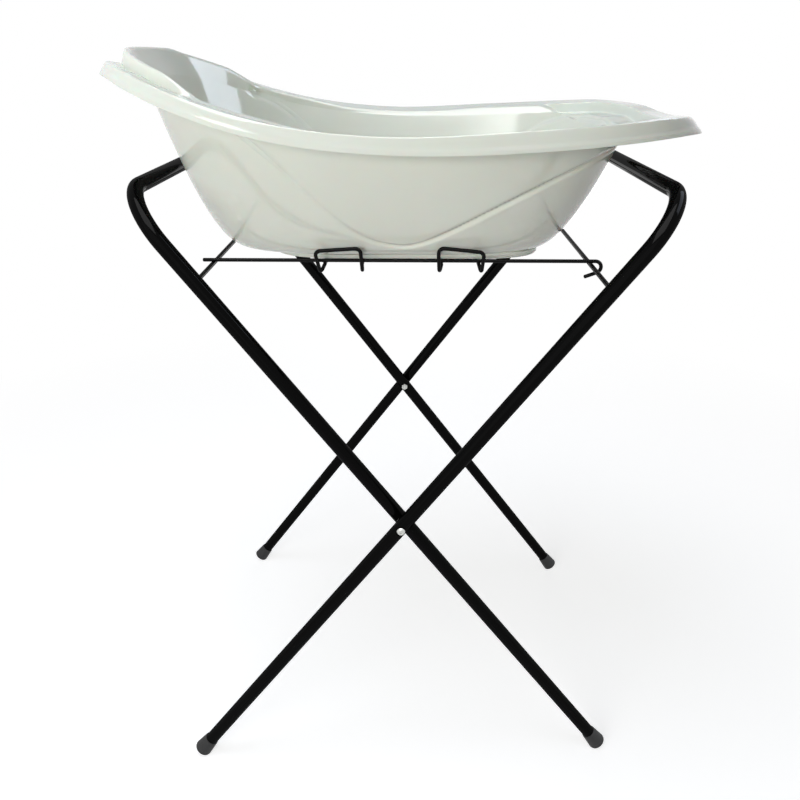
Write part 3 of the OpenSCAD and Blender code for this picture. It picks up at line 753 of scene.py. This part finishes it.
def outsideRings(t):  # from the basin edge out over the flange and down the lip
    x, w = rimPlan(t).x, rimWidth(t)
    lean, height = lipLean(x), flangeHeight(0, x)
    points = [rimPoint(t, w + d, edgeHeight(rise, x) - drop, rise) for d, drop, rise in reversed(edgeOutside)]
    for e in flangeSteps(x)[:0:-1]:
        points.append(rimPoint(t, mix(lean + 1.5, w - bath["collarFoot"], e), flangeHeight(e, x)))
    for f, g in reversed(lipOutside):  # a fold line runs above the turned edge
        fold = bath["creaseDeep"] * smooth((g * height - bath["creaseH"]) / 1.6 + 0.5)
        points.append(rimPoint(t, max(0, f * lean + fold * min(1, 3 * (1.06 - f))), g * height))
    return points


def undersideRings(t):  # from the lip's lowest edge up inside the lip and in under the flange
    x, w = rimPlan(t).x, rimWidth(t)
    lean, height, shell = lipLean(x), flangeHeight(0, x), bath["shell"]
    points = [rimPoint(t, d, h) for d, h in (
        (0.5, 0.0), (1.6, 0.0), (shell - 0.4, 0.4), (shell, 1.6), (shell + 0.2 * lean, 0.3 * height),
        (shell + 0.45 * lean, 0.6 * height), (shell + 0.7 * lean, height - shell - 1.2))]
    for e in flangeSteps(x):
        points.append(rimPoint(t, mix(lean + 3, w - bath["collarFoot"], e), flangeHeight(e, x) - shell))
    points += [rimPoint(t, w + d, edgeHeight(rise, x) - shell - drop, rise) for d, drop, rise in edgeUnder]
    return points


def ringLevel(t):  # where the outer wall meets the ring: the lowest wall level that shows
    reach, most, tries = ringPlan(t).length, 0.12, 40
    for k in range(tries):
        s = most * (k / tries) ** 2
        if wallPoint(t, s, 0).xy.length >= reach:
            return s
    return most


def bathColumn(t):  # once round the wall's section: floor, inside, rim, underside, outside and foot ring
    levels, shell = bath["levels"], bath["shell"]
    spread = [(k / levels) ** bath["bunching"] for k in range(levels + 1)]
    column = []
    for inset, h in floorInside:
        column.append(lowPlan(t, shell + inset).to_3d() + Vector((0, 0, bathZ + shell + h)))
    top = bath["wallTop"] * (1 - bath["footLess"] * along(rimPlan(t).x, "foot"))
    column += [wallPoint(t, top * f, shell) for f in spread]
    column += outsideRings(t) + undersideRings(t)
    low = ringLevel(t)
    column += [wallPoint(t, low + (bath["outerTop"] * top - low) * f, 0) for f in reversed(spread)]
    ring, out = ringPlan(t), ringPlan(t).normalized()
    drop = column[-1].z - bathZ
    for inset, h in ringSection:
        p = ring - out * inset
        column.append(Vector((p.x, p.y, bathZ + h * drop)))
    return column


sectors = bath["sectors"]
columns = [bathColumn(2 * math.pi * j / sectors) for j in range(sectors)]
rings = [[column[i] for column in columns] for i in range(len(columns[0]))]
points, faces = skinRings(rings)


def closeBottom(ringIndex, flip, parts=12):  # fills a flat bottom with rings that shrink to the middle
    base = rings[ringIndex]
    start, centre = ringIndex * sectors, Vector((stand["x"], 0, base[0].z))
    for step in range(1, parts):
        f = 1 - step / parts
        new = len(points)
        points.extend(centre + (p - centre) * f for p in base)
        for j in range(sectors):
            k = (j + 1) % sectors
            quad = (start + j, start + k, new + k, new + j)
            faces.append(quad if flip else quad[::-1])
        start = new
    points.append(centre)
    for j in range(sectors):
        tri = (start + j, start + (j + 1) % sectors, len(points) - 1)
        faces.append(tri if flip else tri[::-1])


closeBottom(0, True)
closeBottom(len(rings) - 1, False)
addPiece("bathShell", points, faces, "bath", bathPlastic, ["bath"], 50)
print("bath made,", len(faces), "faces")


# nearM and farM: metres from the middle between which the paper runs out to white
studio = {"floorColour": "#c6c6c4", "floorSize": 16.0, "floorGlow": 0.72, "nearM": 0.7, "farM": 1.9,
          "worldLevel": 0.1, "worldColour": "#f4f6f8", "white": "#ffffff"}


def seenDirectly(tree):  # 1 for the camera and what shows in gloss or clear parts, 0 for light on the object
    path = addNode(tree, "ShaderNodeLightPath")
    sight = addNode(tree, "ShaderNodeMath", {"operation": "ADD"},
                    {0: path.outputs["Is Camera Ray"], 1: path.outputs["Is Glossy Ray"]})
    return addNode(tree, "ShaderNodeMath", {"operation": "ADD", "use_clamp": True},
                   {0: sight.outputs["Value"], 1: path.outputs["Is Transmission Ray"]}).outputs["Value"]


def makeFloor():  # pale paper that keeps the soft shadow and runs out to plain white
    bpy.ops.mesh.primitive_plane_add(size=studio["floorSize"])
    floor = bpy.context.object
    floor.name = "studioFloor"
    material, tree, shader = newMaterial("paperFloor", {
        "Base Color": hexColour(studio["floorColour"]), "Roughness": 0.95, "Specular IOR Level": 0.0})
    seen, white = seenDirectly(tree), {"Color": hexColour(studio["white"])}
    amount = addNode(tree, "ShaderNodeMath", {"operation": "MULTIPLY", 1: studio["floorGlow"]}, {0: seen})
    lift = addNode(tree, "ShaderNodeEmission", white, {"Strength": amount.outputs["Value"]})
    near = addNode(tree, "ShaderNodeAddShader", links={
        0: shader.outputs["BSDF"], 1: lift.outputs["Emission"]})
    coords = addNode(tree, "ShaderNodeTexCoord")
    reach = addNode(tree, "ShaderNodeVectorMath", {"operation": "LENGTH"}, {0: coords.outputs["Object"]})
    fade = addNode(tree, "ShaderNodeMapRange", {"From Min": studio["nearM"], "From Max": studio["farM"]},
                   {"Value": reach.outputs["Value"]})
    part = addNode(tree, "ShaderNodeMath", {"operation": "MULTIPLY"}, {0: fade.outputs["Result"], 1: seen})
    far = addNode(tree, "ShaderNodeEmission", white)
    blend = addNode(tree, "ShaderNodeMixShader", links={
        0: part.outputs["Value"], 1: near.outputs["Shader"], 2: far.outputs["Emission"]})
    tree.links.new(blend.outputs["Shader"], tree.nodes["Material Output"].inputs["Surface"])
    floor.data.materials.append(material)


def makeWorld():  # dim pale room light; plain white where it is seen
    world = bpy.data.worlds.new("studioRoom")
    world.use_nodes = True
    tree = world.node_tree
    room = tree.nodes["Background"]
    room.inputs["Color"].default_value = hexColour(studio["worldColour"])
    room.inputs["Strength"].default_value = studio["worldLevel"]
    white = addNode(tree, "ShaderNodeBackground", {"Color": hexColour(studio["white"]), "Strength": 1.0})
    blend = addNode(tree, "ShaderNodeMixShader", links={
        0: seenDirectly(tree), 1: room.outputs["Background"], 2: white.outputs["Background"]})
    tree.links.new(blend.outputs["Shader"], tree.nodes["World Output"].inputs["Surface"])
    bpy.context.scene.world = world


# boxes light the object, cards only show in its gloss: place, target and size in metres, watts, colour, use
lamps = {
    "frontBox": ((-1.2, -2.75, 1.25), (0, 0, 0.8), (2.0, 1.4), 54, "#ffffff", "lights"),
    "leftBox": ((-2.2, -1.9, 1.1), (0, 0, 0.8), (1.2, 1.2), 8, "#e8efff", "lights"),
    "ceilingBox": ((-0.5, -0.3, 3.0), (0, 0, 0.9), (1.4, 1.4), 32, "#e9f0ff", "lights"),
    "backBox": ((0.3, 2.6, 0.45), (0, 0, 0.7), (1.8, 0.7), 12, "#ffffff", "both"),
    "frontCard": ((-1.0, -2.8, 1.3), (0, 0, 0.8), (3.6, 2.2), 11, "#ffffff", "mirrors"),
    "windowCard": ((-0.2, -1.0, 2.6), (-0.2, -1.0, 0.9), (1.8, 2.2), 82, "#ffffff", "mirrors"),
    "sideCard": ((1.35, 0.2, 2.0), (-0.3, 0.13, 1.0), (1.5, 0.8), 27, "#e4eeff", "mirrors")}


def addSoftbox(name, place, target, size, watts, colour, use):
    data = bpy.data.lights.new(name, "AREA")
    data.shape, data.size, data.size_y, data.energy = "RECTANGLE", size[0], size[1], watts
    data.color = hexColour(colour)[:3]
    lamp = bpy.data.objects.new(name, data)
    bpy.context.scene.collection.objects.link(lamp)
    lamp.visible_diffuse, lamp.visible_glossy = use != "mirrors", use != "lights"
    lamp.location = place
    lamp.rotation_euler = (Vector(target) - Vector(place)).to_track_quat("-Z", "Y").to_euler()


makeFloor()
makeWorld()
for name, values in lamps.items():
    addSoftbox(name, *values)
# the photo's viewpoint, worked out from the stand's straight legs: metres, degrees, radians, millimetres
camera = {"place": (0.0079, -1.13007, 1.04387), "tilt": 64.99, "turn": 0.0159, "lens": 33.87, "sensor": 36}
lens = bpy.data.cameras.new("photoCamera")
lens.sensor_width, lens.lens = camera["sensor"], camera["lens"]
eye = bpy.data.objects.new("photoCamera", lens)
eye.location = camera["place"]
eye.rotation_euler = (math.radians(camera["tilt"]), 0, camera["turn"])
bpy.context.scene.collection.objects.link(eye)
bpy.context.scene.camera = eye
bpy.context.scene.view_settings.view_transform = "Standard"
print("studio made")
